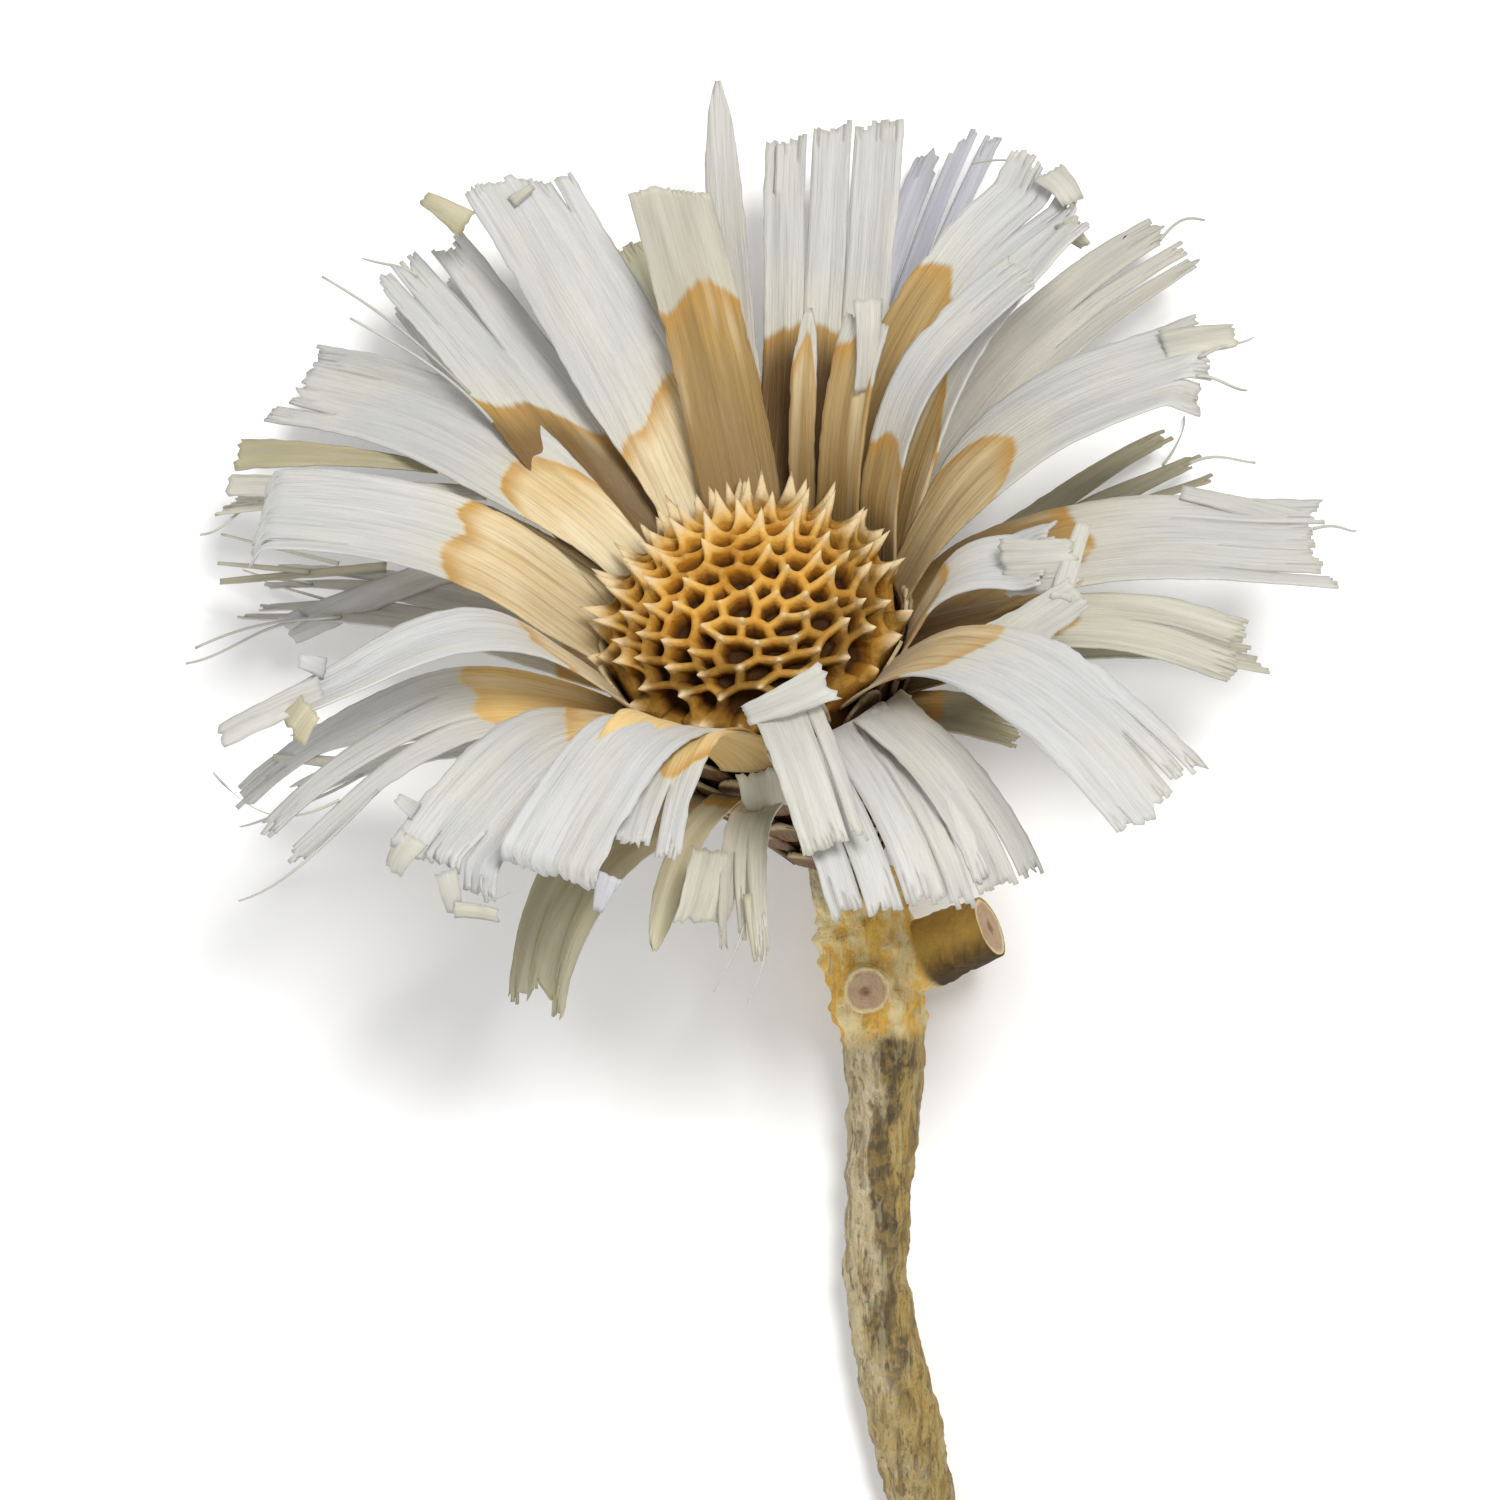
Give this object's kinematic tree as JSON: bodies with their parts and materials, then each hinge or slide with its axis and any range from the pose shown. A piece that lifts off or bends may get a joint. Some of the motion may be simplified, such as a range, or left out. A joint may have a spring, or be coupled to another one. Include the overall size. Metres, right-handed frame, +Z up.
{
  "type": "dried protea flower head",
  "caption": "Dried, bleached protea head cut across its papery bracts, showing the spiny honeycomb centre, lying on its side with a short bent cut stem.",
  "frame": {"origin": "centre of the footprint, on the surface the flower lies on", "axes": "+Z up from the surface; -Y the way the flower faces, rising from the surface; +Y along the stem to its cut end; +X across"},
  "size_m": [0.097, 0.134, 0.0682],
  "materials": {
    "inner_bract": "satin",
    "middle_bract": "satin",
    "outer_bract": "matte",
    "receptacle": "matte",
    "stem": "matte"
  },
  "bodies": {
    "root": {"bract_01": "inner_bract", "bract_02": "inner_bract", "bract_03": "inner_bract", "bract_04": "inner_bract", "bract_05": "inner_bract", "bract_06": "inner_bract", "bract_07": "inner_bract", "bract_08": "inner_bract", "bract_09": "inner_bract", "bract_10": "inner_bract", "bract_11": "inner_bract", "bract_12": "inner_bract", "bract_13": "inner_bract", "bract_14": "inner_bract", "bract_15": "middle_bract", "bract_16": "middle_bract", "bract_17": "middle_bract", "bract_18": "middle_bract", "bract_19": "middle_bract", "bract_20": "middle_bract", "bract_21": "middle_bract", "bract_22": "middle_bract", "bract_23": "middle_bract", "bract_24": "middle_bract", "bract_25": "middle_bract", "bract_26": "outer_bract", "bract_27": "outer_bract", "bract_28": "outer_bract", "bract_29": "outer_bract", "bract_30": "outer_bract", "bract_31": "outer_bract", "bract_32": "outer_bract", "bract_33": "outer_bract", "bract_34": "outer_bract", "bract_35": "outer_bract", "bract_36": "outer_bract", "bract_37": "outer_bract", "receptacle": "receptacle", "stem": "stem"}
  },
  "joints": []
}
